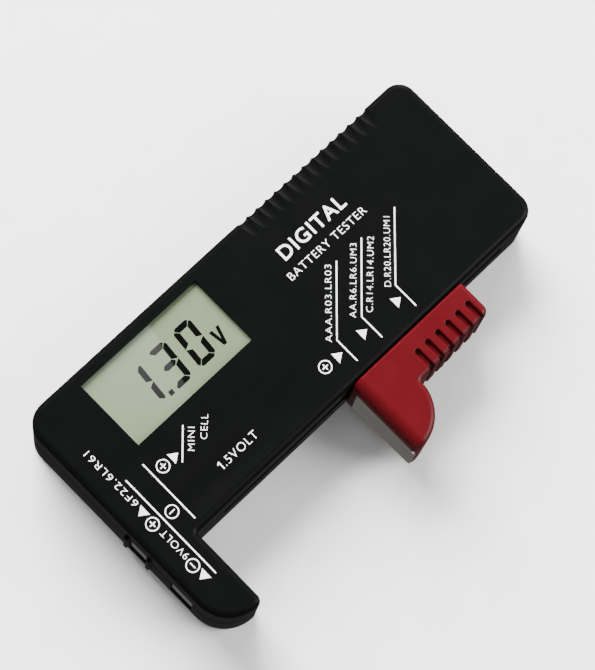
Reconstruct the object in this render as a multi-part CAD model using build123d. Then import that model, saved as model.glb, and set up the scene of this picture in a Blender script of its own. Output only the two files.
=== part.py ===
"""Hand-held battery tester: a two-shell case with a fixed foot jaw, a sliding jaw, a liquid crystal
display, contacts for a block battery on the end wall, and the board, rail and leads inside.

Everything is drawn from the case's own corner: X across from the left wall, Y along from the end wall
that holds the block-battery contacts, Z up from the back.  DATUM then moves every piece so that the
origin is the middle of the whole object's footprint, on the back face.
"""

from build123d import *
import math
import os

# ---------------------------------------------------------------- driving dimensions, millimetres
LENGTH = 110.0                # end wall to far wall
BODY_WIDTH = 41.1             # left wall to the wall that the jaw slides along
OVERALL_WIDTH = 60.3          # left wall to the tips of the two jaws
THICKNESS = 17.0
PARTING = 8.8                 # height of the joint between the two shells
WALL = 2.0
EDGE_R = 1.4                  # rounding round the front face
BACK_R = 0.9                  # rounding round the back face
END_CORNER_R = 5.5
FAR_CORNER_R = 4.0
FOOT_CORNER_R = 8.4
FOOT_TIP_R = 1.5
CROOK_R = 0.5                 # inner corner between the wall and the foot
FOOT_DEPTH = 10.0             # the foot jaw, measured along Y
SMALLEST_R = 0.3              # for corners that an inset leaves nearly sharp
FIT = 0.15                    # clearance of pieces that move or drop in
CLEAR = 1.0                   # how far a cutter reaches past what it cuts
PARTING_CHAMFER = 0.25        # on the outside of both shells, where they meet

LABEL_X = (6.0, 35.1)         # shallow recess for the label on the back
LABEL_Y = (24.0, 88.0)
LABEL_DEPTH = 0.35

CEILING = THICKNESS - WALL
SIDE = BODY_WIDTH - WALL      # inside face of the wall that the jaw slides along

# finger grip: hollow flutes over the left edge
FLUTES = 14
FLUTE_PITCH = 2.72
FLUTE_START = 61.4
FLUTE_DEPTH = 0.42
FLUTE_REACH = 5.3             # where the flutes run out on the face
FLUTE_RISE = 6.5              # degrees that they climb on the way
FLUTE_FOOT = 3.0              # how far below the parting the cutter starts
FLUTE_RUN_OUT = 1.5           # how far past FLUTE_REACH it goes on, above the face

# hollow in the face beside the jaws, where a fat cell beds
SCOOP_X = (30.0, 39.5)
SCOOP_Y = (12.4, 53.0)
SCOOP_DEPTHS = (0.95, 0.03)   # at its two ends, so that it runs out evenly
SCOOP_PAD_Z = 14.1            # underside of the thicker face below the hollow
SCOOP_PAD_RIM = 1.2           # how far the thicker face reaches round the hollow

# display window and the display behind it
WINDOW_X = (2.9, 20.0)
WINDOW_Y = (13.8, 46.3)
GLASS_T = 0.7
FILM_T = 0.2
GLASS_X = (2.3, 23.6)         # front plate, with the contact ledge on its right
GLASS_Y = (12.3, 47.8)
LEDGE_X = 20.7                # right edge of the rear plate, where the ledge starts
WINDOW_LIP = 0.9              # thickness of the face round the window, over the display's pocket

# circuit board
BOARD_X = (2.6, 32.6)
BOARD_Y = (9.6, 72.5)
BOARD_Z = (9.0, 10.6)
BOARD_SCREWS = ((28.6, 12.9), (6.0, 52.5), (6.0, 69.0), (28.6, 69.0))

# case screws
CASE_SCREWS = ((6.3, 6.3), (40.65, 6.6), (7.0, 102.5), (30.0, 102.5))
POST_R = 2.6                  # posts in the rear shell; those in the front shell are thinner
FRONT_POST_R = 2.1
BOARD_POST_R = 2.0
ROOTED = 0.5                  # how far a post or rib runs into the wall that it grows from
HEAD_R = 1.7
HEAD_SEAT = 4.6               # height of the shoulder the screw heads pull on
HEAD_HEIGHT = 1.5
SHANK_R = 1.0
CASE_SCREW_TIP = 13.4
CASE_BORE_TOP = 14.0
BOARD_HEAD_R = 1.6
BOARD_HEAD_HEIGHT = 1.1
BOARD_SHANK_R = 0.8
BOARD_SCREW_TIP = 13.6
BOARD_BORE_TOP = 14.2

# sliding jaw, drawn where it holds the smallest round cell
JAW_END = 54.2                # contact face of the jaw
JAW_TOP = 86.8
JAW_LEFT = BODY_WIDTH + 0.12
JAW_Z = (2.6, 17.0)
GRIP_X = 50.3                 # outside of the thumb grip
HORN_R = 10.1
HORN_CENTRE = (50.2, 55.5)
END_ROUND = 2.7               # big rounding over the contact face
JAW_ROUND = 1.3               # round the outer side of the top
JAW_EDGE = 0.5                # every other edge
GROOVES = 6
GROOVE_PITCH = 3.0
GROOVE_START = 69.3
GROOVE_WIDTH = 1.15
GROOVE_FLARE = 0.3            # slope along both rims of a groove
GROOVE_DEPTH = 1.1
GROOVE_X = 45.5               # where the grooves start across the top
NECK_Y = (60.0, 82.0)
NECK_Z = (7.4, 10.2)
RUNNER_X = (36.2, SIDE - FIT)
RUNNER_Y = (58.0, 84.0)
RUNNER_Z = (5.6, 12.0)
TRAVEL_CLOSE = 41.5
TRAVEL_OPEN = 18.5

# contacts
STRIP_T = 0.4
PLATE_Z = (3.7, 13.3)         # jaw contact
BLOCK_PITCH = 12.7            # between the two terminals of a block battery
BLOCK_FIRST_X = 34.65
BLOCK_WIDTHS = (4.7, 6.1)
BLOCK_Z = (3.0, 10.6)
FOOT_CONTACT_X = (44.0, 58.0)
FOOT_CONTACT_Z = (4.8, 13.2)
NUB_X = (31.4, 37.9)
NUB_PROUD = 0.7
NUB_OVER = 0.5                # how far the guide ribs reach past the windows, up and down
RAIL_X = (34.6, 38.4)
RAIL_Y = (12.6, 104.4)
RAIL_Z = (3.0, 3.4)
RAIL_REST = 3.4               # length of the two pads that the rail lies on

LEAD_R = 0.55

DATUM = Location((-OVERALL_WIDTH / 2, -(LENGTH - NUB_PROUD) / 2, 0))


# ---------------------------------------------------------------- helpers
def block(x, y, z):
    """A box between pairs of low and high limits."""
    size = [limits[1] - limits[0] for limits in (x, y, z)]
    middle = [(limits[1] + limits[0]) / 2 for limits in (x, y, z)]
    return Pos(*middle) * Box(*size)


def post(x, y, z, radius):
    """An upright cylinder between two heights."""
    return Pos(x, y, (z[0] + z[1]) / 2) * Cylinder(radius, z[1] - z[0])


def outline(inset=0.0):
    """Plan of the case, body and foot jaw together, shrunk by inset on every side."""
    corners = (
        (inset, inset, END_CORNER_R - inset),
        (OVERALL_WIDTH - inset, inset, FOOT_CORNER_R - inset),
        (OVERALL_WIDTH - inset, FOOT_DEPTH - inset, FOOT_TIP_R - inset),
        (BODY_WIDTH - inset, FOOT_DEPTH - inset, CROOK_R + inset),
        (BODY_WIDTH - inset, LENGTH - inset, FAR_CORNER_R - inset),
        (inset, LENGTH - inset, FAR_CORNER_R - inset),
    )
    plan = make_face(Polyline(*[(x, y) for x, y, _ in corners], close=True))
    largest = FOOT_DEPTH - CROOK_R - 0.5 - 2 * inset       # what the width of the foot has room for
    for x, y, radius in corners:
        corner = plan.vertices().sort_by_distance((x, y, 0))[0]
        plan = fillet(corner, min(max(radius, SMALLEST_R), largest))
    return plan


def strip(points, x):
    """A bent metal strip: its side view is a line of (y, z) points, its width runs between x limits."""
    side = Plane.YZ * trace(Polyline(*points), STRIP_T)
    return Pos(x[0], 0, 0) * extrude(side, x[1] - x[0])


def lead(points, radii):
    """An insulated lead along straight runs joined by tangent arcs."""
    path = FilletPolyline(*points, radius=radii)
    section = Plane(origin=path @ 0, z_dir=path % 0) * Circle(LEAD_R)
    return sweep(section, path=path)


# ---------------------------------------------------------------- case
def flute(y):
    """Cutter for one hollow flute: up the side wall, round the face's edge and onto the face, where
    it climbs until it runs out."""
    half = FLUTE_PITCH / 2
    radius = (half**2 + FLUTE_DEPTH**2) / (2 * FLUTE_DEPTH)
    centre = (EDGE_R, THICKNESS - EDGE_R)
    bend = EDGE_R + radius - FLUTE_DEPTH
    rise = math.radians(FLUTE_RISE)

    def on_bend(angle):
        return (centre[0] - bend * math.cos(angle), y, centre[1] + bend * math.sin(angle))

    quarter = math.pi / 2 - rise
    start, middle, end = on_bend(0), on_bend(quarter / 2), on_bend(quarter)
    run = FLUTE_REACH + FLUTE_RUN_OUT - end[0]
    path = Wire([
        Line((start[0], y, PARTING - FLUTE_FOOT), start),
        ThreePointArc(start, middle, end),
        Line(end, (end[0] + run, y, end[2] + run * math.tan(rise))),
    ])
    return sweep(Plane(origin=path @ 0, z_dir=(0, 0, 1)) * Circle(radius), path=path)


def scoop_section(y, depth):
    """Outline of the hollow across the case: an arc below the face, closed well above it."""
    left, right = (SCOOP_X[0], y, THICKNESS), (SCOOP_X[1], y, THICKNESS)
    lid = THICKNESS + CLEAR
    arc = ThreePointArc(left, (sum(SCOOP_X) / 2, y, THICKNESS - depth), right)
    rest = Polyline(right, (SCOOP_X[1], y, lid), (SCOOP_X[0], y, lid), left)
    return make_face(Wire([arc, *rest.edges()]))


def scoop():
    """Cutter for the hollow: deepest beside the foot, running out evenly towards the far end."""
    return loft([scoop_section(y, depth) for y, depth in zip(SCOOP_Y, SCOOP_DEPTHS)], ruled=True)


def wall_openings():
    """What both shells leave open: the jaw's slot, the block-battery windows and the foot window."""
    slot_y = (NECK_Y[0] - TRAVEL_CLOSE - FIT, NECK_Y[1] + TRAVEL_OPEN + FIT)
    openings = block((SIDE - CLEAR, BODY_WIDTH + CLEAR), slot_y, (NECK_Z[0] - FIT, NECK_Z[1] + FIT))
    for i, width in enumerate(BLOCK_WIDTHS):
        x = BLOCK_FIRST_X + i * BLOCK_PITCH
        openings += block((x - width / 2, x + width / 2), (-CLEAR, WALL + CLEAR), BLOCK_Z)
    openings += block(FOOT_CONTACT_X, (FOOT_DEPTH - WALL - CLEAR, FOOT_DEPTH + CLEAR), FOOT_CONTACT_Z)
    return openings


def nubs(z):
    """Two small upright ribs that guide the block battery's stud onto its contact."""
    root, tip = 0.8, 0.35              # half widths
    ribs = Part()
    for x in NUB_X:
        corners = ((x - root, WALL / 4), (x - tip, -NUB_PROUD), (x + tip, -NUB_PROUD), (x + root, WALL / 4))
        plan = make_face(Polyline(*corners, close=True))
        ribs += Pos(0, 0, z[0]) * extrude(plan, z[1] - z[0])
    return ribs


def front_shell():
    shell = Pos(0, 0, PARTING) * extrude(outline(), THICKNESS - PARTING)
    shell = fillet(shell.faces().sort_by(Axis.Z)[-1].edges(), EDGE_R)
    shell = chamfer(shell.faces().sort_by(Axis.Z)[0].edges(), PARTING_CHAMFER)
    cavity = Pos(0, 0, PARTING - CLEAR) * extrude(outline(WALL), CEILING - PARTING + CLEAR)
    pad_y = (SCOOP_Y[0] - SCOOP_PAD_RIM, sum(SCOOP_Y) / 2)
    cavity -= block((SCOOP_X[0] - SCOOP_PAD_RIM, SIDE + CLEAR), pad_y, (SCOOP_PAD_Z, THICKNESS))
    shell -= cavity
    for x, y in CASE_SCREWS:
        shell += post(x, y, (PARTING, CEILING + ROOTED), FRONT_POST_R)
    for x, y in BOARD_SCREWS:
        shell += post(x, y, (BOARD_Z[1], CEILING + ROOTED), BOARD_POST_R)
    shell += nubs((PARTING, BLOCK_Z[1] + NUB_OVER))
    shell -= block(WINDOW_X, WINDOW_Y, (CEILING - CLEAR, THICKNESS + CLEAR))
    pocket_y = (GLASS_Y[0] - FIT, GLASS_Y[1] + FIT)
    shell -= block((GLASS_X[0] - FIT, GLASS_X[1] + FIT), pocket_y, (CEILING - CLEAR, THICKNESS - WINDOW_LIP))
    shell -= wall_openings()
    shell -= scoop()
    for i in range(FLUTES):
        shell -= flute(FLUTE_START + (i + 0.5) * FLUTE_PITCH)
    for x, y in CASE_SCREWS:
        shell -= post(x, y, (PARTING - CLEAR, CASE_BORE_TOP), SHANK_R)
    for x, y in BOARD_SCREWS:
        shell -= post(x, y, (BOARD_Z[1] - CLEAR, BOARD_BORE_TOP), BOARD_SHANK_R)
    return shell


def rear_shell():
    shell = extrude(outline(), PARTING)
    shell = fillet(shell.faces().sort_by(Axis.Z)[0].edges(), BACK_R)
    shell = chamfer(shell.faces().sort_by(Axis.Z)[-1].edges(), PARTING_CHAMFER)
    shell -= Pos(0, 0, WALL) * extrude(outline(WALL), PARTING)
    for x, y in CASE_SCREWS:
        shell += post(x, y, (WALL - ROOTED, PARTING), POST_R)
    shell += nubs((BLOCK_Z[0] - NUB_OVER, PARTING))
    for y in (RAIL_Y[0], RAIL_Y[1] - RAIL_REST):
        shell += block(RAIL_X, (y, y + RAIL_REST), (WALL - ROOTED, RAIL_Z[0]))
    shell -= wall_openings()
    for x, y in CASE_SCREWS:
        shell -= post(x, y, (-CLEAR, HEAD_SEAT), HEAD_R + FIT)
        shell -= post(x, y, (0, PARTING + CLEAR), SHANK_R + FIT)
    shell -= block(LABEL_X, LABEL_Y, (-CLEAR, LABEL_DEPTH))
    return shell


def cross_screw(x, y, head_low, head_high, head_r, shank_r, tip):
    """A pan-head cross-recess screw driven upwards from the back."""
    head = post(x, y, (head_low, head_high), head_r)
    head = fillet(head.faces().sort_by(Axis.Z)[0].edges(), 0.35)
    arm, half, recess = head_r * 0.6, 0.28, (head_low - CLEAR, head_low + 0.7)
    head -= block((x - half, x + half), (y - arm, y + arm), recess)
    head -= block((x - arm, x + arm), (y - half, y + half), recess)
    shank = post(x, y, (head_high, tip), shank_r)
    shank = chamfer(shank.faces().sort_by(Axis.Z)[-1].edges(), shank_r * 0.5)
    return head + shank


def case_screws():
    return [
        cross_screw(x, y, HEAD_SEAT - HEAD_HEIGHT, HEAD_SEAT, HEAD_R, SHANK_R, CASE_SCREW_TIP)
        for x, y in CASE_SCREWS
    ]


def board_screws():
    low, high = BOARD_Z[0] - BOARD_HEAD_HEIGHT, BOARD_Z[0]
    return [
        cross_screw(x, y, low, high, BOARD_HEAD_R, BOARD_SHANK_R, BOARD_SCREW_TIP)
        for x, y in BOARD_SCREWS
    ]


# ---------------------------------------------------------------- display
FILM_TOP = THICKNESS - WINDOW_LIP - 0.05
FILM_X = (GLASS_X[0] + 0.15, LEDGE_X - 0.1)
FILM_Y = (GLASS_Y[0] + 0.2, GLASS_Y[1] - 0.2)
GLASS_TOP = FILM_TOP - FILM_T
CELL_MIDDLE = GLASS_TOP - GLASS_T
CELL_BASE = CELL_MIDDLE - GLASS_T


def display_front_film():
    return block(FILM_X, FILM_Y, (GLASS_TOP, FILM_TOP))


def display_front_glass():
    return block(GLASS_X, GLASS_Y, (CELL_MIDDLE, GLASS_TOP))


def display_rear_glass():
    return block((GLASS_X[0], LEDGE_X), GLASS_Y, (CELL_BASE, CELL_MIDDLE))


def display_reflector():
    return block(FILM_X, FILM_Y, (CELL_BASE - FILM_T, CELL_BASE))


STRIP_X = (LEDGE_X + 0.4, LEDGE_X + 2.6)
STRIP_Y = (GLASS_Y[0] + 1.5, GLASS_Y[1] - 1.5)


def elastomer_strip():
    """Striped rubber connector between the board and the glass's ledge."""
    return block(STRIP_X, STRIP_Y, (BOARD_Z[1], CELL_MIDDLE))


def display_holder():
    """Frame on the board that carries the glass and keeps the rubber connector upright."""
    rim, ledge, play = 0.7, 2.0, 0.1
    around_y = (GLASS_Y[0] - rim, GLASS_Y[1] + rim)
    pocket_y = (GLASS_Y[0] - play, GLASS_Y[1] + play)
    hole_y = (GLASS_Y[0] + ledge, GLASS_Y[1] - ledge)
    pocket_z = (CELL_BASE - FILM_T, THICKNESS)
    frame = block((GLASS_X[0] + play, GLASS_X[1] + 1.6), around_y, (BOARD_Z[1], CEILING - FIT))
    frame -= block((GLASS_X[0] - CLEAR, LEDGE_X + play), pocket_y, pocket_z)
    frame -= block((GLASS_X[0] + ledge, LEDGE_X - ledge), hole_y, (0, THICKNESS))
    frame -= block(STRIP_X, STRIP_Y, (0, THICKNESS))
    return frame


# ---------------------------------------------------------------- board
BLOB = (13.0, 32.0)
BLOB_R = 9.0                  # of the sphere that its cap is a slice of
BLOB_T = 1.4
CHIP = (20.0, 55.5)
CAPACITOR = (12.0, 60.5)
CAPACITOR_R = 2.5
CAPACITOR_T = 5.6
COIL = (26.5, 61.0)
COIL_T = 4.4
COIL_CORE_R = 1.3
FLANGE_R = 2.8
FLANGE_T = 0.8
WINDING_R = 2.4
RESISTORS = 4
RESISTOR_FIRST = (26.4, 38.0)
RESISTOR_PITCH = 3.2
DIODE = (20.2, 66.0)
CHIP_CAPACITORS = ((16.2, 53.0), (16.2, 58.5), (23.6, 53.2), (5.6, 24.0), (5.6, 28.5))


def circuit_board():
    board = block(BOARD_X, BOARD_Y, BOARD_Z)
    board = fillet(board.edges().filter_by(Axis.Z), 1.0)
    for x, y in BOARD_SCREWS:
        board -= post(x, y, (0, THICKNESS), BOARD_SHANK_R + FIT)
    return board


def controller_blob():
    """Black resin cap over the bonded controller die, hanging under the board."""
    x, y = BLOB
    low, high = BOARD_Z[0] - BLOB_T, BOARD_Z[0]
    cap = Pos(x, y, low + BLOB_R) * Sphere(BLOB_R)
    return cap & block((x - BLOB_R, x + BLOB_R), (y - BLOB_R, y + BLOB_R), (low - CLEAR, high))


def converter_chip():
    """Step-up converter in a small flat package with three legs a side."""
    x, y = CHIP
    leg_pitch, leg_half = 1.27, 0.2
    chip = block((x - 1.5, x + 1.5), (y - 2.0, y + 2.0), (BOARD_Z[0] - 1.5, BOARD_Z[0] - 0.1))
    chip = chamfer(chip.faces().sort_by(Axis.Z)[0].edges(), 0.2)
    for side in (-1, 1):
        for i in (-1, 0, 1):
            leg_x = sorted((x + side * 1.4, x + side * 2.4))
            leg_y = y + i * leg_pitch
            chip += block(leg_x, (leg_y - leg_half, leg_y + leg_half), (BOARD_Z[0] - 0.4, BOARD_Z[0]))
    return chip


def reservoir_capacitor():
    """Electrolytic capacitor standing on the board, can downwards, with a groove near its foot."""
    x, y = CAPACITOR
    top = BOARD_Z[0]
    can = post(x, y, (top - CAPACITOR_T, top), CAPACITOR_R)
    can = fillet(can.faces().sort_by(Axis.Z)[0].edges(), 0.4)
    rim = (top - 1.3, top - 0.9)
    return can - (post(x, y, rim, CAPACITOR_R + CLEAR) - post(x, y, rim, CAPACITOR_R - 0.2))


def storage_coil():
    """Drum-core inductor: two flanges on a core, with the winding between them."""
    x, y = COIL
    low, high = BOARD_Z[0] - COIL_T, BOARD_Z[0]
    flanges = post(x, y, (low, low + FLANGE_T), FLANGE_R) + post(x, y, (high - FLANGE_T, high), FLANGE_R)
    return flanges + post(x, y, (low, high), COIL_CORE_R)


def coil_winding():
    x, y = COIL
    between = (BOARD_Z[0] - COIL_T + FLANGE_T, BOARD_Z[0] - FLANGE_T)
    return post(x, y, between, WINDING_R) - post(x, y, between, COIL_CORE_R)


def axial_part(x, y, radius, length):
    """Body of an axial component lying under the board, its two wires bent up to their pads."""
    z = BOARD_Z[0] - radius - 0.05
    half = 0.25                        # of the wires, across
    body = Pos(x, y, z) * Rot(0, 90, 0) * Cylinder(radius, length)
    body = fillet(body.edges().filter_by(GeomType.CIRCLE), 0.3)
    for side in (-1, 1):
        tip = x + side * (length / 2 + 1.3)
        run = block(sorted((x, tip)), (y - half, y + half), (z - half, z + half))
        drop = block(sorted((tip - side * 2 * half, tip)), (y - half, y + half), (z - half, BOARD_Z[0]))
        body += run + drop
    return body


def resistors():
    x, first = RESISTOR_FIRST
    return [axial_part(x, first + RESISTOR_PITCH * i, 0.95, 5.2) for i in range(RESISTORS)]


def rectifier_diode():
    return axial_part(*DIODE, 1.05, 4.2)


def chip_capacitors():
    """Small ceramic blocks round the converter and the controller."""
    return [
        block((x - 0.65, x + 0.65), (y - 1.0, y + 1.0), (BOARD_Z[0] - 0.9, BOARD_Z[0]))
        for x, y in CHIP_CAPACITORS
    ]


# ---------------------------------------------------------------- contacts
def block_contact(i):
    """Spring strip that bulges through its window in the end wall, with a tab inside for its lead."""
    x = BLOCK_FIRST_X + i * BLOCK_PITCH
    half = BLOCK_WIDTHS[i] / 2 - 0.15
    front, back = 0.5, WALL + 0.35
    side_view = (
        (back + 2.0, BLOCK_Z[1] + 1.6),
        (back, BLOCK_Z[1] + 1.6),
        (back, BLOCK_Z[1] - 0.3),
        (front, BLOCK_Z[1] - 1.3),
        (front, BLOCK_Z[0] + 1.3),
        (back, BLOCK_Z[0] + 0.3),
        (back, BLOCK_Z[0] - 0.6),
    )
    return strip(side_view, (x - half, x + half))


def block_contact_positive():
    return block_contact(0)


def block_contact_negative():
    return block_contact(1)


def foot_contact():
    """Fixed contact for the flat end of a round cell, bulging through the foot's window."""
    front, back = FOOT_DEPTH - 0.5, FOOT_DEPTH - WALL - 0.35
    side_view = (
        (back - 1.4, FOOT_CONTACT_Z[1] + 1.3),
        (back, FOOT_CONTACT_Z[1] + 1.3),
        (back, FOOT_CONTACT_Z[1] - 0.3),
        (front, FOOT_CONTACT_Z[1] - 1.3),
        (front, FOOT_CONTACT_Z[0] + 1.3),
        (back, FOOT_CONTACT_Z[0] + 0.3),
        (back, FOOT_CONTACT_Z[0] - 0.6),
    )
    return strip(side_view, (FOOT_CONTACT_X[0] + 0.15, FOOT_CONTACT_X[1] - 0.15))


def contact_rail():
    """Long strip on the floor of the rear shell that the jaw's leaf spring rubs along."""
    rail = block(RAIL_X, RAIL_Y, RAIL_Z)
    return fillet(rail.edges().filter_by(Axis.Z), 1.0)


# ---------------------------------------------------------------- leads
TAB_Z = BLOCK_Z[1] + 1.4      # underside of the block contacts' tabs


def lead_block_positive():
    x = BLOCK_FIRST_X
    points = ((x, 3.6, TAB_Z), (x, 3.6, 6.8), (25.0, 11.8, 6.8), (25.0, 11.8, BOARD_Z[0]))
    return lead(points, 1.2)


def lead_common():
    """Joins the block battery's negative contact and the board."""
    x = BLOCK_FIRST_X + BLOCK_PITCH
    points = (
        (x, 3.6, TAB_Z),
        (x, 3.6, 5.0),
        (37.0, 3.4, 5.0),
        (21.0, 12.0, 5.0),
        (21.0, 12.0, BOARD_Z[0]),
    )
    return lead(points, 1.2)


def lead_foot():
    """Joins the foot contact to the block battery's negative contact."""
    left, right = BLOCK_FIRST_X + BLOCK_PITCH + 1.8, 54.0
    foot_tab = FOOT_CONTACT_Z[1] + 1.1
    points = ((left, 3.6, TAB_Z), (left, 3.6, 10.4), (right, 5.4, 10.4), (right, 6.4, foot_tab))
    return lead(points, (0.6, 0.6))


def lead_rail():
    """Joins the jaw's rail and the board."""
    z = RAIL_Z[1] + LEAD_R
    points = ((36.2, 14.4, z), (30.5, 14.4, z), (30.5, 19.0, z), (30.5, 19.0, BOARD_Z[0]))
    return lead(points, 1.2)


# ---------------------------------------------------------------- sliding jaw
SPRING_Z = RUNNER_Z[0] - STRIP_T
STAKE_X = 37.5
STAKE_R = 0.45
STAKES_Y = (63.2, 65.6)


def jaw_contact():
    """One bent strip held in the jaw: the plate a cell presses on, and a tail that runs through the
    neck to the leaf spring."""
    leg_x = (JAW_LEFT + 1.9, JAW_LEFT + 1.9 + STRIP_T)
    tail_z = (7.9, 9.7)
    cross_y = (67.6, 68.0)
    drop_x = (36.8, 38.2)
    plate = block((leg_x[0], OVERALL_WIDTH - 0.1), (JAW_END, JAW_END + STRIP_T), PLATE_Z)
    plate = fillet(plate.edges().filter_by(Axis.Y).sort_by(Axis.X)[-2:], 1.2)
    leg = block(leg_x, (JAW_END, cross_y[1]), tail_z)
    cross = block((drop_x[0], leg_x[1]), cross_y, tail_z)
    drop = block(drop_x, cross_y, (RUNNER_Z[0], tail_z[1]))
    return plate + leg + cross + drop


def jaw_leaf_spring():
    """Phosphor-bronze leaf under the runner: staked flat at one end, its bowed end rubs on the rail."""
    top, low = RUNNER_Z[0] - STRIP_T / 2, RAIL_Z[1] + 0.03 + STRIP_T / 2
    side_view = ((61.8, top), (69.0, top), (76.0, low), (78.0, low), (80.4, low + 0.9))
    leaf = strip(side_view, (36.7, 38.3))
    for y in STAKES_Y:
        leaf -= post(STAKE_X, y, (0, THICKNESS), STAKE_R)
    return leaf


def jaw_outline():
    """Plan of the red jaw: thumb grip above, rounded horn below that reaches over the cell."""
    cx, cy = HORN_CENTRE
    shoulder = (cx + HORN_R * math.sin(math.radians(8)), cy + HORN_R * math.cos(math.radians(8)))
    middle = (cx + HORN_R * math.sqrt(0.5), cy + HORN_R * math.sqrt(0.5))
    edges = (
        Line((JAW_LEFT, JAW_END), (JAW_LEFT, JAW_TOP)),
        Line((JAW_LEFT, JAW_TOP), (GRIP_X - 0.6, JAW_TOP)),
        Line((GRIP_X - 0.6, JAW_TOP), (GRIP_X, shoulder[1])),
        Line((GRIP_X, shoulder[1]), shoulder),
        ThreePointArc(shoulder, middle, (cx + HORN_R, cy)),
        Line((cx + HORN_R, cy), (cx + HORN_R, JAW_END)),
        Line((cx + HORN_R, JAW_END), (JAW_LEFT, JAW_END)),
    )
    plan = make_face(Wire(edges))
    rounded = (
        (GRIP_X - 0.6, JAW_TOP, 1.8),
        (GRIP_X, shoulder[1], 0.7),
        (cx + HORN_R, JAW_END, 1.0),
    )
    for x, y, radius in rounded:
        plan = fillet(plan.vertices().sort_by_distance((x, y, 0))[0], radius)
    return plan


def thumb_groove(y):
    """Cutter for one groove: a round-ended slot in the top, carried down the outside of the grip,
    with both rims sloped."""
    half, wide = GROOVE_WIDTH / 2, GROOVE_WIDTH / 2 + GROOVE_FLARE
    floor, top = JAW_Z[1] - GROOVE_DEPTH, JAW_Z[1]
    slot = block((GROOVE_X, GRIP_X + CLEAR), (y - half, y + half), (floor, top + CLEAR))
    slot += post(GROOVE_X, y, (floor, top + CLEAR), half)
    slot += block((GRIP_X - GROOVE_DEPTH, GRIP_X + CLEAR), (y - half, y + half), (0, top + CLEAR))
    slope = Polyline(
        (GRIP_X - GROOVE_FLARE, y - half), (GRIP_X, y - wide), (GRIP_X + CLEAR, y - wide),
        (GRIP_X + CLEAR, y + wide), (GRIP_X, y + wide), (GRIP_X - GROOVE_FLARE, y + half), close=True,
    )
    return slot + extrude(make_face(slope), top)


def jaw_body():
    """The part of the jaw outside the case, with every rim rounded."""
    end, far = JAW_END + STRIP_T / 2, JAW_TOP + CLEAR
    low, high = JAW_Z
    body = Pos(0, 0, low) * extrude(jaw_outline(), high - low)
    side = make_face(Polyline((end, low), (far, low), (far, high), (end, high), close=True))
    side = fillet(side.vertices().sort_by_distance((end, high, 0))[0], END_ROUND)
    body = body & extrude(Plane.YZ * side, OVERALL_WIDTH + CLEAR)

    def rim(height):
        past = end + END_ROUND + 0.1
        return [e for e in body.edges() if abs(e.center().Z - height) < 0.01 and e.center().Y > past]

    outer = [e for e in rim(JAW_Z[1]) if e.center().X > JAW_LEFT + 5]
    body = fillet(outer, JAW_ROUND)
    inner = [e for e in rim(JAW_Z[1]) if e.center().X < JAW_LEFT + 1]
    body = fillet(inner, JAW_EDGE)
    return fillet(rim(JAW_Z[0]), JAW_EDGE)


def sliding_jaw():
    """Red moulding: jaw outside the case, neck through the slot and runner inside."""
    jaw = jaw_body()
    for i in range(GROOVES):
        jaw -= thumb_groove(GROOVE_START + i * GROOVE_PITCH)
    jaw += block((RUNNER_X[1] - 0.5, JAW_LEFT + 0.5), NECK_Y, NECK_Z)
    jaw += block(RUNNER_X, RUNNER_Y, RUNNER_Z)
    for y in STAKES_Y:
        jaw += post(STAKE_X, y, (SPRING_Z - 0.35, RUNNER_Z[0] + 0.5), STAKE_R)
    return jaw - jaw_contact()


# ---------------------------------------------------------------- every piece, one file each
NODES = {
    "front_shell": front_shell,
    "rear_shell": rear_shell,
    "case_screws": case_screws,
    "board_screws": board_screws,
    "display_front_film": display_front_film,
    "display_front_glass": display_front_glass,
    "display_rear_glass": display_rear_glass,
    "display_reflector": display_reflector,
    "display_holder": display_holder,
    "elastomer_strip": elastomer_strip,
    "circuit_board": circuit_board,
    "controller_blob": controller_blob,
    "converter_chip": converter_chip,
    "reservoir_capacitor": reservoir_capacitor,
    "storage_coil": storage_coil,
    "coil_winding": coil_winding,
    "resistors": resistors,
    "rectifier_diode": rectifier_diode,
    "chip_capacitors": chip_capacitors,
    "block_contact_positive": block_contact_positive,
    "block_contact_negative": block_contact_negative,
    "foot_contact": foot_contact,
    "contact_rail": contact_rail,
    "lead_block_positive": lead_block_positive,
    "lead_common": lead_common,
    "lead_foot": lead_foot,
    "lead_rail": lead_rail,
    "sliding_jaw": sliding_jaw,
    "jaw_contact": jaw_contact,
    "jaw_leaf_spring": jaw_leaf_spring,
}

os.makedirs("parts", exist_ok=True)
for name, make in NODES.items():
    made = make()
    solids = made if isinstance(made, list) else [made]
    moved = [DATUM * solid for solid in solids]
    shape = moved[0] if len(moved) == 1 else Compound(children=moved)
    export_step(shape, f"parts/{name}.step")
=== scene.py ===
"""Hand-held battery tester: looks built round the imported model, one section for each piece."""
import math

import bmesh
import bpy
import numpy as np
from mathutils import Matrix, Vector


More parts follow.
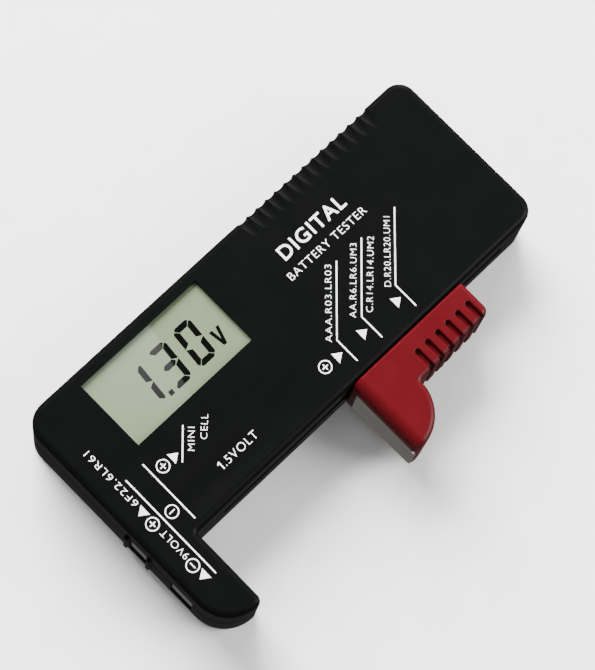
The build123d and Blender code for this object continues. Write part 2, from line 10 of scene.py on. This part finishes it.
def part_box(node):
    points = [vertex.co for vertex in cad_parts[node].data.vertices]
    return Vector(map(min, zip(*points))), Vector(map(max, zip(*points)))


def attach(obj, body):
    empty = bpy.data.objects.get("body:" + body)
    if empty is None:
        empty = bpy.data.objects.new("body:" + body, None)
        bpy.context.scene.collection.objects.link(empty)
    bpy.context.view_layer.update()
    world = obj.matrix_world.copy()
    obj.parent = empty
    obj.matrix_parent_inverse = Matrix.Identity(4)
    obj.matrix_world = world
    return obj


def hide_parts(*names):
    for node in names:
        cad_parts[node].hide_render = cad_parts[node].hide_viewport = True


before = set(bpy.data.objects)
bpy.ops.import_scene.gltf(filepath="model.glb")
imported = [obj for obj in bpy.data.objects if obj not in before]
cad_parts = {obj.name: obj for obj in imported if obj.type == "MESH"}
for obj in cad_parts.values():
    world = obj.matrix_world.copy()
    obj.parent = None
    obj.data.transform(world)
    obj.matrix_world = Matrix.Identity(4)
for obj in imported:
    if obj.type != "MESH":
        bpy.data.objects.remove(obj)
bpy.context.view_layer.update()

# ---------------------------------------------------------------------------------------------
# Camera: a studio camera on a long lens, nearly overhead, turned so that the tester lies
# diagonally in the picture.
# ---------------------------------------------------------------------------------------------
MM = 0.001
AIM = Vector((-5.5, 1.1, 8.5)) * MM
AZIMUTH, ELEVATION, ROLL = 28.22, 74.15, 17.76     # degrees
DISTANCE = 0.51306                 # from the aim, metres
LENS, SENSOR = 131.16, 36          # millimetres
NEAR_CLIP = 0.01

a, e, r = (math.radians(v) for v in (AZIMUTH, ELEVATION, ROLL))
forward = Vector((-math.sin(a) * math.cos(e), math.cos(a) * math.cos(e), -math.sin(e)))
level_right = forward.cross(Vector((0, 0, 1))).normalized()
level_up = level_right.cross(forward)
right = level_right * math.cos(r) + level_up * math.sin(r)
up = right.cross(forward)

camera_data = bpy.data.cameras.new("camera")
camera_data.lens = LENS
camera_data.sensor_width = SENSOR
camera_data.clip_start = NEAR_CLIP
camera = bpy.data.objects.new("camera", camera_data)
eye = AIM - forward * DISTANCE
camera.matrix_world = Matrix((
    (right.x, up.x, -forward.x, eye.x),
    (right.y, up.y, -forward.y, eye.y),
    (right.z, up.z, -forward.z, eye.z),
    (0, 0, 0, 1),
))
bpy.context.scene.collection.objects.link(camera)
bpy.context.scene.camera = camera

# ---------------------------------------------------------------------------------------------
# Studio: a pale sheet to lie on and soft panels low round it. Mirror images are kept weak, because
# black plastic shows every one of them.
# ---------------------------------------------------------------------------------------------
FLOOR_SIZE = 3.0
FLOOR_DROP = 0.00003              # below the back face, so that the two planes never coincide
BLOTCHES = 150                    # features per metre in the broad variation of every finish
BLOTCH_DETAIL, GRAIN_DETAIL = 4, 3


def tree_of(name):
    """A new material, with its node tree and its shader."""
    material = bpy.data.materials.new(name)
    material.use_nodes = True
    return material, material.node_tree, material.node_tree.nodes["Principled BSDF"]


def noise(tree, scale, detail, stretch):
    """Noise on the piece's own coordinates, in features per metre, stretched along the axes."""
    place = tree.nodes.new("ShaderNodeTexCoord")
    mapping = tree.nodes.new("ShaderNodeMapping")
    mapping.inputs["Scale"].default_value = stretch
    texture = tree.nodes.new("ShaderNodeTexNoise")
    texture.inputs["Scale"].default_value = scale
    texture.inputs["Detail"].default_value = detail
    tree.links.new(place.outputs["Object"], mapping.inputs["Vector"])
    tree.links.new(mapping.outputs["Vector"], texture.inputs["Vector"])
    return texture.outputs["Fac"]


def spread(tree, value, low, high, start=0.35, end=0.65):
    """Maps a value from start..end to low..high, clamped; noise lies mostly within 0.35..0.65."""
    ramp = tree.nodes.new("ShaderNodeMapRange")
    ramp.inputs["From Min"].default_value = start
    ramp.inputs["From Max"].default_value = end
    ramp.inputs["To Min"].default_value = low
    ramp.inputs["To Max"].default_value = high
    tree.links.new(value, ramp.inputs["Value"])
    return ramp.outputs["Result"]


def tint(tree, value, first, second):
    """A colour that runs from first to second as the value goes from 0 to 1."""
    mix = tree.nodes.new("ShaderNodeMix")
    mix.data_type = "RGBA"
    colours = [socket for socket in mix.inputs if socket.type == "RGBA"]
    colours[0].default_value = (*first, 1)
    colours[1].default_value = (*second, 1)
    tree.links.new(value, mix.inputs["Factor"])
    return [socket for socket in mix.outputs if socket.type == "RGBA"][0]


def relief(tree, shader, layers):
    """Bumps stacked one on another: each layer is a value and its height in metres."""
    normal = None
    for value, height in layers:
        bump = tree.nodes.new("ShaderNodeBump")
        bump.inputs["Distance"].default_value = height
        tree.links.new(value, bump.inputs["Height"])
        if normal is not None:
            tree.links.new(normal, bump.inputs["Normal"])
        normal = bump.outputs["Normal"]
    tree.links.new(normal, shader.inputs["Normal"])


def finish(name, colours, roughness, grains, metallic=0.0, specular=0.5, stretch=(1, 1, 1)):
    """A surface with two close colours in blotches, uneven gloss, and grains as bumps.

    colours and roughness are pairs of limits; grains are pairs of features per metre and height.
    """
    material, tree, shader = tree_of(name)
    blotch = noise(tree, BLOTCHES, BLOTCH_DETAIL, stretch)
    tree.links.new(tint(tree, spread(tree, blotch, 0, 1), *colours), shader.inputs["Base Color"])
    tree.links.new(spread(tree, blotch, *roughness), shader.inputs["Roughness"])
    shader.inputs["Metallic"].default_value = metallic
    shader.inputs["Specular IOR Level"].default_value = specular
    relief(tree, shader, [(noise(tree, scale, GRAIN_DETAIL, stretch), height) for scale, height in grains])
    return material


def dress(material, *nodes):
    """Gives carried-over CAD nodes their finish."""
    for node in nodes:
        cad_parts[node].data.materials.clear()
        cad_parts[node].data.materials.append(material)


floor_paper = finish(
    "floor_paper", ((0.86, 0.86, 0.86), (0.89, 0.89, 0.89)), (0.85, 0.95), [(900, 0.00002)])
bpy.ops.mesh.primitive_plane_add(size=FLOOR_SIZE, location=(0, 0, -FLOOR_DROP))
floor = bpy.context.object
floor.name = "floor"
floor.data.materials.append(floor_paper)
floor.visible_glossy = False      # the sides of the case would mirror it and look white


def panel(name, azimuth, elevation, distance, size, watts):
    """A square soft panel that faces the middle of the floor.

    Azimuth and elevation in degrees, azimuth from +X towards +Y; distance and size in metres."""
    data = bpy.data.lights.new(name, "AREA")
    data.shape = "SQUARE"
    data.size = size
    data.energy = watts
    lamp = bpy.data.objects.new(name, data)
    a, e = math.radians(azimuth), math.radians(elevation)
    spot = Vector((math.cos(a) * math.cos(e), math.sin(a) * math.cos(e), math.sin(e))) * distance
    lamp.matrix_world = Matrix.Translation(spot) @ spot.to_track_quat("Z", "Y").to_matrix().to_4x4()
    bpy.context.scene.collection.objects.link(lamp)
    return lamp


key = panel("key_panel", 160, 36, 1.3, 0.9, 110.0)
key.visible_glossy = False        # its mirror image would run down the hollow in the face
panel("far_panel", 45, 32, 1.6, 0.9, 36.0)
panel("rim_panel", 122, 26, 1.3, 0.45, 8.0)      # draws the flutes of the finger grip

ROOM_LIGHT = (0.16, 0.46)         # from below the level of the sheet, and from above it
HORIZON = (-0.1, 0.1)             # where one gives way to the other, as the height of a direction
world = bpy.data.worlds.new("studio")
world.use_nodes = True
room = world.node_tree
room.nodes["Background"].inputs["Color"].default_value = (1, 1, 1, 1)
direction = room.nodes.new("ShaderNodeTexCoord")
height = room.nodes.new("ShaderNodeSeparateXYZ")
room.links.new(direction.outputs["Generated"], height.inputs["Vector"])
strength = spread(room, height.outputs["Z"], *ROOM_LIGHT, *HORIZON)
room.links.new(strength, room.nodes["Background"].inputs["Strength"])
bpy.context.scene.world = world

# ---------------------------------------------------------------------------------------------
# Case: two shells moulded in black polystyrene with a fine spark-eroded texture, closed by four
# screws from the back.
# ---------------------------------------------------------------------------------------------
NUB_PROUD = 0.7                    # the end wall's guide ribs stand this far out of the case
case_low, case_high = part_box("front_shell")
CORNER = Vector((case_low[0], case_low[1] + NUB_PROUD * MM, 0))
FACE = case_high[2] / MM           # height of the printed face, millimetres

case_black = finish(
    "case_black", ((0.0018, 0.0020, 0.00195), (0.0021, 0.0023, 0.00225)), (0.40, 0.42),
    [(5200, 0.000007), (700, 0.000002)], specular=0.07,
)
dress(case_black, "front_shell", "rear_shell")
screw_steel = finish(
    "screw_steel", ((0.10, 0.10, 0.11), (0.16, 0.16, 0.17)), (0.35, 0.5),
    [(6000, 0.000006)], metallic=1.0,
)
dress(screw_steel, "case_screws", "board_screws")

# ---------------------------------------------------------------------------------------------
# Sliding jaw: moulded in red, satin from the tool. A plated strip in its end face presses on the
# cell, and a bronze leaf under its runner rubs along the rail inside the case.
# ---------------------------------------------------------------------------------------------
JAW_EDGE = 0.00028                 # what the tool leaves on the rims of the grooves, metres
WELD = 0.000002                    # points closer than this are one point, metres
FLAT_ANGLE = math.radians(0.6)     # faces that meet at less than this are one face
SHARP_ANGLE = math.radians(34)     # edges that turn by more than this are rounded
BRUSHED_ALONG_X = (0.05, 1, 1)     # noise drawn out into streaks

jaw_red = finish(
    "jaw_red", ((0.054, 0.0014, 0.0032), (0.059, 0.0017, 0.0036)), (0.40, 0.43),
    [(4200, 0.000007), (500, 0.000003)], specular=0.16,
)


def rounded_copy(node, material, body, edge):
    """The node's own surface, merged, with every sharp edge rounded in two segments over a width."""
    shape = bmesh.new()
    shape.from_mesh(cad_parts[node].data)
    bmesh.ops.remove_doubles(shape, verts=shape.verts, dist=WELD)
    bmesh.ops.dissolve_limit(shape, angle_limit=FLAT_ANGLE, verts=shape.verts, edges=shape.edges)
    mesh = bpy.data.meshes.new(node + "_surface")
    shape.to_mesh(mesh)
    shape.free()
    mesh.shade_smooth()
    mesh.set_sharp_from_angle(angle=SHARP_ANGLE)
    mesh.materials.clear()
    mesh.materials.append(material)
    copy = bpy.data.objects.new(node + "_surface", mesh)
    bpy.context.scene.collection.objects.link(copy)
    bevel = copy.modifiers.new("edges", "BEVEL")
    bevel.width = edge
    bevel.segments = 2
    bevel.limit_method = "ANGLE"
    bevel.angle_limit = SHARP_ANGLE
    bevel.use_clamp_overlap = False
    flatten = copy.modifiers.new("flat_faces", "WEIGHTED_NORMAL")
    flatten.keep_sharp = True
    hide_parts(node)
    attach(copy, body)


rounded_copy("sliding_jaw", jaw_red, "jaw", JAW_EDGE)
plated_strip = finish(
    "plated_strip", ((0.62, 0.60, 0.55), (0.76, 0.73, 0.68)), (0.22, 0.36),
    [(3500, 0.000006)], metallic=1.0, stretch=BRUSHED_ALONG_X,
)
dress(plated_strip, "jaw_contact", "foot_contact", "block_contact_positive", "block_contact_negative",
      "contact_rail")
leaf_bronze = finish(
    "leaf_bronze", ((0.55, 0.33, 0.16), (0.66, 0.42, 0.22)), (0.25, 0.4),
    [(3000, 0.000005)], metallic=1.0,
)
dress(leaf_bronze, "jaw_leaf_spring")

# ---------------------------------------------------------------------------------------------
# Display: a liquid crystal cell behind the window. Its front film looks grey-green, and the
# driven segments show through it as black bars leaning a little to the right.
# ---------------------------------------------------------------------------------------------
display_film = finish(
    "display_film", ((0.108, 0.138, 0.082), (0.113, 0.144, 0.086)), (0.015, 0.02),
    [(300, 0.0000003)], specular=0.2,
)
dress(display_film, "display_front_film")
segment_black = finish(
    "segment_black", ((0.0006, 0.0006, 0.0005), (0.0009, 0.0009, 0.0008)), (0.015, 0.02),
    [(300, 0.0000003)], specular=0.2,
)

DIGIT_BASE = 17.1                  # across the case, millimetres, where the digits stand
DIGIT_HEIGHT = 9.8
DIGIT_WIDTH = 4.8
SEGMENT = 1.32                     # width of a bar
GAP = 0.07                         # from the end of a bar to the line where two bars meet
CUT = 0.95                         # off the outer corners
LEAN = 0.09                        # sideways for each millimetre of height
DIGITS = (("bc", 20.2), ("abcdg", 27.35), ("abcdef", 34.35))     # the lit bars, where each starts
POINT = ((25.9, 0.0), (27.0, 0.0), (27.0, 1.1), (25.9, 1.1))
UNIT = ((0, 4.0), (0.95, 0), (1.75, 0), (2.7, 4.0), (1.9, 4.0), (1.35, 1.35), (0.8, 4.0))
UNIT_START, UNIT_BASE = 40.4, 16.8
FILM_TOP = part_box("display_front_film")[1][2] / MM
BAR_HALF = 0.015                   # half of a bar's thickness, half sunk in the film, millimetres


def prism(outline, low, high):
    """Closed plate between two heights over an outline of points (x, y), all in case millimetres."""
    flat = np.asarray(outline, float)
    area = np.sum(flat[:, 0] * np.roll(flat[:, 1], -1) - np.roll(flat[:, 0], -1) * flat[:, 1])
    if area < 0:
        flat = flat[::-1]
    count = len(flat)
    points = np.vstack([np.column_stack([flat, np.full(count, level)]) for level in (low, high)])
    first = np.arange(count)
    second = np.roll(first, -1)
    walls = np.column_stack([first, second, second + count, first + count]).tolist()
    return points, [first[::-1].tolist(), (first + count).tolist(), *walls]


def piece(name, shapes, material, body):
    """One object from closed shapes in case millimetres; it rides on the body."""
    points, faces, start = [], [], 0
    for shape_points, shape_faces in shapes:
        points.append(shape_points)
        faces += [[start + index for index in face] for face in shape_faces]
        start += len(shape_points)
    mesh = bpy.data.meshes.new(name)
    mesh.from_pydata((np.vstack(points) * MM + np.array(CORNER)).tolist(), [], faces)
    mesh.update()
    made = bpy.data.objects.new(name, mesh)
    bpy.context.scene.collection.objects.link(made)
    mesh.materials.append(material)
    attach(made, body)
    return made


def on_display(outline, start, base=DIGIT_BASE):
    """Puts an outline of (along, up) points on the case: along is +Y, up is -X, leaning over."""
    grid = np.asarray(outline, float)
    return np.column_stack([base - grid[:, 1], start + grid[:, 0] + LEAN * grid[:, 1]])


def lit_bar(letter):
    """Outline of one of a digit's seven bars, lettered clockwise from the top with g in the middle.

    The bars are strips of a frame: mitred where two meet, with the frame's corners cut off."""
    wide, high, t, g, c = DIGIT_WIDTH, DIGIT_HEIGHT, SEGMENT, GAP, CUT
    mid, near, far = high / 2, CUT / 2 - GAP, CUT / 2 + GAP
    left_top = [(0, high - c), (near, high - far), (t, high - t - g), (t, mid + t / 2 + g), (0, mid + g)]
    top = [(c, high), (wide - c, high), (wide - far, high - near), (wide - t - g, high - t),
           (t + g, high - t), (far, high - near)]
    middle = [(t / 2 + g, mid), (t + g, mid + t / 2), (wide - t - g, mid + t / 2),
              (wide - t / 2 - g, mid), (wide - t - g, mid - t / 2), (t + g, mid - t / 2)]
    outline = top if letter in "ad" else middle if letter == "g" else left_top
    if letter in "bc":
        outline = [(wide - x, y) for x, y in outline]
    if letter in "cde":
        outline = [(x, high - y) for x, y in outline]
    return outline


outlines = [on_display(lit_bar(letter), start) for lit, start in DIGITS for letter in lit]
outlines += [on_display(POINT, 0.0), on_display(UNIT, UNIT_START, UNIT_BASE)]
segments = piece(
    "display_segments", [prism(outline, FILM_TOP - BAR_HALF, FILM_TOP + BAR_HALF) for outline in outlines],
    segment_black, "case",
)

# a narrow softbox that only the display mirrors: its edge crosses the digits at a slant
GLOSS_EDGE = ((3.4, 33.0), (20.0, 29.0))       # where that edge lies on the film, case millimetres
GLOSS_REACH = 0.5                              # from the film to the softbox, metres
GLOSS_SIZE = (0.16, 0.14)
GLOSS_WATTS = 0.0005
GLOSS_SPREAD = math.radians(6.0)               # narrow, so that the glare fades away from the edge


def mirrored(point):
    """Where the camera's sight line goes after the film: its start and its direction."""
    start = CORNER + Vector((point[0], point[1], 0)) * MM
    start.z = FILM_TOP * MM
    sight = (start - eye).normalized()
    return start, Vector((sight.x, sight.y, -sight.z))


ends = [mirrored(point) for point in GLOSS_EDGE]
axis = ends[0][1]
hub = ends[0][0] + axis * GLOSS_REACH
corners = [start + ray * ((hub - start).dot(axis) / ray.dot(axis)) for start, ray in ends]
side = (corners[1] - corners[0]).normalized()
inward = side.cross(axis) if side.cross(axis).y < 0 else -side.cross(axis)
gloss = panel("gloss_panel", 0, 90, GLOSS_REACH, 1, GLOSS_WATTS)      # shaped and placed below
gloss.data.shape = "RECTANGLE"
gloss.data.size, gloss.data.size_y = GLOSS_SIZE
gloss.data.spread = GLOSS_SPREAD
middle = (corners[0] + corners[1]) / 2 + inward * GLOSS_SIZE[1] / 2
upright = axis.cross(side)
gloss.matrix_world = Matrix.Translation(middle) @ Matrix((side, upright, axis)).transposed().to_4x4()
gloss.visible_diffuse = False
mirrors = bpy.data.collections.new("display_mirrors")
for mirror in (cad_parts["display_front_film"], segments):
    mirrors.objects.link(mirror)
gloss.light_linking.receiver_collection = mirrors

# ---------------------------------------------------------------------------------------------
# Printing: white ink laid on the face by a soft pad, a few hundredths of a millimetre thick: the
# heading, the scale of cell sizes, and the plus and minus ends.
# ---------------------------------------------------------------------------------------------
INK = 0.03                         # how far it stands proud, millimetres
SUNK = 0.04                        # how far it reaches below the surface, so that no gap shows
LINE = 0.3                         # width of the plain lines
HOLLOW_X = (30.0, 39.5)            # the hollow in the face that one of the words lies in
HOLLOW_DEPTHS = ((12.4, 0.95), (53.0, 0.03))       # along the case, and how deep it is there
ARROW_WIDTH, ARROW_LENGTH = 2.7, 1.95
SIGN_RADIUS, SIGN_ARM, SIGN_LINE = 1.36, 0.74, 0.25
RING_STEPS = 48
ACROSS, ALONG, BACK = (1.0, 0.0), (0.0, 1.0), (0.0, -1.0)
white_ink = finish(
    "white_ink", ((0.80, 0.80, 0.82), (0.88, 0.88, 0.90)), (0.45, 0.6), [(4000, 0.000006)])


def stroke(points, width=LINE):
    """Outline of a line of even width through points, mitred at its corners, square at its ends."""
    path = np.array(points, float)
    ahead = np.diff(path, axis=0)
    ahead /= np.linalg.norm(ahead, axis=1)[:, None]
    normals = np.column_stack([-ahead[:, 1], ahead[:, 0]])
    before, after = np.vstack([normals[:1], normals]), np.vstack([normals, normals[-1:]])
    mitre = before + after
    mitre /= np.sum(mitre * before, axis=1)[:, None]
    offset = mitre * width / 2
    return np.vstack([path + offset, (path - offset)[::-1]])


def arrow(tip, towards):
    """Outline of a solid triangle with its tip at a point, pointing along a direction."""
    tip, towards = np.array(tip, float), np.array(towards, float)
    across = np.array([-towards[1], towards[0]]) * ARROW_WIDTH / 2
    return [tip, tip - towards * ARROW_LENGTH + across, tip - towards * ARROW_LENGTH - across]


def ring(centre, radius, width):
    """Closed ring: a rectangle of width by ink thickness carried round a circle."""
    angle = np.linspace(0, 2 * np.pi, RING_STEPS, endpoint=False)[:, None]
    inner, outer = radius - width / 2, radius + width / 2
    reach = np.array([inner, outer, outer, inner])[None, :]
    level = np.array([FACE - SUNK, FACE - SUNK, FACE + INK, FACE + INK])[None, :]
    points = np.stack([centre[0] + np.cos(angle) * reach, centre[1] + np.sin(angle) * reach,
                       level + 0 * angle], axis=-1).reshape(-1, 3)
    row, column = np.meshgrid(np.arange(RING_STEPS), np.arange(4), indexing="ij")
    here, turn = row * 4 + column, row * 4 + (column + 1) % 4
    ahead = ((row + 1) % RING_STEPS) * 4
    quads = np.stack([here, ahead + column, ahead + (column + 1) % 4, turn], axis=-1).reshape(-1, 4)
    return points, quads.tolist()


def face_height(x, y):
    """Height of the face in millimetres: an arc across the hollow, whose depth changes evenly along
    it, and level elsewhere."""
    (y0, deep), (y1, shallow) = HOLLOW_DEPTHS
    depth = deep + (shallow - deep) * (y - y0) / (y1 - y0)
    half = (HOLLOW_X[1] - HOLLOW_X[0]) / 2
    radius = (half**2 + depth**2) / (2 * depth)
    off = x - (HOLLOW_X[0] + HOLLOW_X[1]) / 2
    arc = FACE - depth + radius - np.sqrt(np.maximum(radius**2 - off**2, 0))
    inside = (np.abs(off) < half) & (y > y0) & (y < y1)
    return np.where(inside, arc, FACE)


def flat(outline):
    """Closed body of ink over an outline, following the face up and down."""
    points, faces = prism(outline, -SUNK, INK)
    points[:, 2] += face_height(points[:, 0], points[:, 1])
    return points, faces


def sign(centre, bars):
    """A plus or a minus in a ring; bars are the directions that its arms lie along."""
    centre = np.array(centre, float)
    arms = [np.array(along) * SIGN_ARM for along in bars]
    return [ring(centre, SIGN_RADIUS, SIGN_LINE)] + [
        flat(stroke((centre - arm, centre + arm), SIGN_LINE)) for arm in arms
    ]


# all places below are case millimetres: across from the fluted side, then along from the end wall
SCALE = ((76.1, 88.1), (66.1, 78.2), (58.8, 70.8))    # of each bent line: its bend, its far end
SCALE_FAR, SCALE_BEND, SCALE_EDGE = 20.0, 32.2, 38.25
SCALE_TIP, TIP_BACK = 34.8, 1.05                      # the arrow beside each of them
LINES = (
    ((23.2, 23.25), (28.75, 17.75)),
    ((23.5, 11.65), (38.8, 11.65)),
    ((23.5, 6.9), (49.7, 6.9)),
)
ARROWS = (((26.7, 18.55), ALONG), ((30.6, 3.65), BACK), ((48.4, 3.65), BACK))
SIGNS = (
    ((34.6, 53.0), (ACROSS, ALONG)), ((26.6, 14.4), (ACROSS, ALONG)), ((34.6, 9.2), (ALONG,)),
    ((33.75, 4.6), (ACROSS, ALONG)), ((45.4, 4.6), (ACROSS,)),
)
ONE_FOOT, ONE_HEAD, ONE_FLAG = (35.5, 23.2), (33.65, 23.2), (34.15, 22.6)     # the 1 of 1.5VOLT
FLAG_LINE = 0.26

marks = [
    flat(stroke(((SCALE_FAR, far), (SCALE_BEND, bend), (SCALE_EDGE, bend)))) for bend, far in SCALE]
marks += [flat(arrow((SCALE_TIP, bend - TIP_BACK), ALONG)) for bend, far in SCALE]
marks += [flat(stroke(ends)) for ends in LINES]
marks += [flat(arrow(tip, towards)) for tip, towards in ARROWS]
for centre, bars in SIGNS:
    marks += sign(centre, bars)
marks += [flat(stroke((ONE_FOOT, ONE_HEAD))), flat(stroke((ONE_HEAD, ONE_FLAG), FLAG_LINE))]
piece("printed_marks", marks, white_ink, "case")

LETTER_SPACING = 1.12
LETTER_DEPTH = 0.5                 # only tells the top of a letter from its foot
CURVE_STEPS = 4
LETTER_WELD = 0.0005               # this and the next two are in heights of a line of type
LONG_EDGE = 0.3                    # longer ones are halved, so that letters follow the hollow
SAME_LEVEL = 0.1                   # tells an edge along the face from one through the ink
HALVINGS = 2


def words(name, text, start, end, capital, weight):
    """Lettering whose baseline runs from start to end on the face, with capitals of that height.

    The height of each point comes from the face under it, so that the ink lies in the hollow."""
    curve = bpy.data.curves.new(name, "FONT")
    curve.body = text
    curve.offset = weight
    curve.space_character = LETTER_SPACING
    curve.extrude = LETTER_DEPTH
    curve.resolution_u = CURVE_STEPS
    typed = bpy.data.objects.new(name + "_type", curve)
    bpy.context.scene.collection.objects.link(typed)
    bpy.context.view_layer.update()
    mesh = bpy.data.meshes.new_from_object(typed.evaluated_get(bpy.context.evaluated_depsgraph_get()))
    bpy.data.objects.remove(typed)
    mesh.name = name
    cut = bmesh.new()
    cut.from_mesh(mesh)
    bmesh.ops.remove_doubles(cut, verts=cut.verts, dist=LETTER_WELD)
    bmesh.ops.triangulate(cut, faces=cut.faces)
    for _ in range(HALVINGS):
        long = []
        for edge in cut.edges:
            rise = abs(edge.verts[0].co.z - edge.verts[1].co.z)
            if edge.calc_length() > LONG_EDGE and rise < SAME_LEVEL:
                long.append(edge)
        bmesh.ops.subdivide_edges(cut, edges=long, cuts=1)
        bmesh.ops.triangulate(cut, faces=cut.faces)
    cut.to_mesh(mesh)
    cut.free()
    typed_points = np.empty(len(mesh.vertices) * 3)
    mesh.vertices.foreach_get("co", typed_points)
    u, v, w = typed_points.reshape(-1, 3).T
    start, end = np.array(start, float), np.array(end, float)
    ahead = end - start
    length = np.linalg.norm(ahead)
    ahead /= length
    upward = np.array([-ahead[1], ahead[0]])
    run = (u - u.min()) / (u.max() - u.min()) * length
    rise = v / v.max() * capital
    x = start[0] + ahead[0] * run + upward[0] * rise
    y = start[1] + ahead[1] * run + upward[1] * rise
    z = face_height(x, y) + np.where(w > 0, INK, -SUNK)
    mesh.vertices.foreach_set("co", (np.column_stack([x, y, z]) * MM + np.array(CORNER)).ravel())
    mesh.update()
    made = bpy.data.objects.new(name, mesh)
    bpy.context.scene.collection.objects.link(made)
    mesh.materials.clear()
    mesh.materials.append(white_ink)
    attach(made, "case")


WORDS = (
    # name, text, start and end of the baseline, capital height, extra weight
    ("print_heading", "DIGITAL", (12.75, 63.1), (12.75, 81.25), 3.2, 0.012),
    ("print_title", "BATTERY TESTER", (16.8, 61.0), (16.8, 83.2), 1.8, -0.012),
    ("print_cell_aaa", "AAA.R03.LR03", (31.85, 57.75), (19.85, 69.4), 1.38, -0.014),
    ("print_cell_aa", "AA.R6.LR6.UM3", (31.55, 65.1), (20.2, 76.6), 1.38, -0.014),
    ("print_cell_c", "C.R14.LR14.UM2", (33.1, 68.45), (21.6, 80.3), 1.38, -0.014),
    ("print_cell_d", "D.R20.LR20.UM1", (31.8, 75.2), (20.8, 85.9), 1.38, -0.014),
    ("print_round_voltage", ".5VOLT", (35.5, 23.9), (35.5, 33.0), 1.85, -0.012),
    ("print_mini", "MINI", (28.75, 21.25), (25.2, 24.7), 1.4, -0.014),
    ("print_cell", "CELL", (28.75, 24.75), (25.15, 28.55), 1.4, -0.014),
    ("print_block_voltage", "9VOLT", (43.5, 5.7), (36.1, 5.7), 1.5, -0.012),
    ("print_block_code", "6F22.6LR61", (28.7, 5.7), (13.9, 5.7), 1.5, -0.012),
)
for line in WORDS:
    words(*line)

# ---------------------------------------------------------------------------------------------
# Inside: the display's plates and connector, the board with its soldered parts, and the insulated
# leads. All of them lie behind the case, and each has a finish of its own.
# ---------------------------------------------------------------------------------------------
INSIDE = (
    # name, two colours, roughness, grain features per metre, its height, metallic, nodes
    ("display_glass", ((0.60, 0.66, 0.62), (0.64, 0.70, 0.66)), (0.03, 0.06), 300, 1e-6, 0.0,
     ("display_front_glass", "display_rear_glass")),
    ("reflector_film", ((0.42, 0.46, 0.36), (0.50, 0.54, 0.43)), (0.35, 0.5), 5000, 4e-6, 0.6,
     ("display_reflector",)),
    ("holder_plastic", ((0.58, 0.58, 0.55), (0.66, 0.66, 0.63)), (0.5, 0.6), 2500, 8e-6, 0.0,
     ("display_holder",)),
    ("elastomer", ((0.42, 0.16, 0.20), (0.62, 0.34, 0.38)), (0.6, 0.75), 6000, 8e-6, 0.0,
     ("elastomer_strip",)),
    ("board_laminate", ((0.015, 0.10, 0.035), (0.03, 0.17, 0.06)), (0.25, 0.4), 1800, 6e-6, 0.0,
     ("circuit_board",)),
    ("resin_black", ((0.008, 0.008, 0.009), (0.016, 0.016, 0.017)), (0.2, 0.4), 900, 2e-5, 0.0,
     ("controller_blob",)),
    ("chip_body", ((0.02, 0.02, 0.021), (0.035, 0.035, 0.036)), (0.5, 0.65), 7000, 5e-6, 0.0,
     ("converter_chip",)),
    ("diode_body", ((0.012, 0.012, 0.012), (0.025, 0.025, 0.025)), (0.3, 0.45), 4000, 5e-6, 0.0,
     ("rectifier_diode",)),
    ("capacitor_sleeve", ((0.012, 0.018, 0.07), (0.02, 0.03, 0.11)), (0.25, 0.4), 2500, 5e-6, 0.0,
     ("reservoir_capacitor",)),
    ("ferrite", ((0.03, 0.03, 0.03), (0.06, 0.058, 0.056)), (0.6, 0.8), 3500, 1.5e-5, 0.0,
     ("storage_coil",)),
    ("copper_wire", ((0.50, 0.17, 0.06), (0.70, 0.28, 0.12)), (0.25, 0.4), 2600, 2e-5, 1.0,
     ("coil_winding",)),
    ("resistor_coat", ((0.50, 0.38, 0.24), (0.66, 0.52, 0.36)), (0.35, 0.5), 2400, 8e-6, 0.0,
     ("resistors",)),
    ("ceramic_chip", ((0.38, 0.26, 0.15), (0.50, 0.36, 0.22)), (0.5, 0.7), 5200, 8e-6, 0.0,
     ("chip_capacitors",)),
    ("lead_red", ((0.30, 0.010, 0.010), (0.42, 0.02, 0.02)), (0.4, 0.55), 2600, 8e-6, 0.0,
     ("lead_block_positive", "lead_rail")),
    ("lead_black", ((0.012, 0.012, 0.012), (0.02, 0.02, 0.02)), (0.4, 0.55), 2600, 8e-6, 0.0,
     ("lead_common", "lead_foot")),
)
for name, colours, roughness, scale, height, metallic, nodes in INSIDE:
    dress(finish(name, colours, roughness, [(scale, height)], metallic=metallic), *nodes)
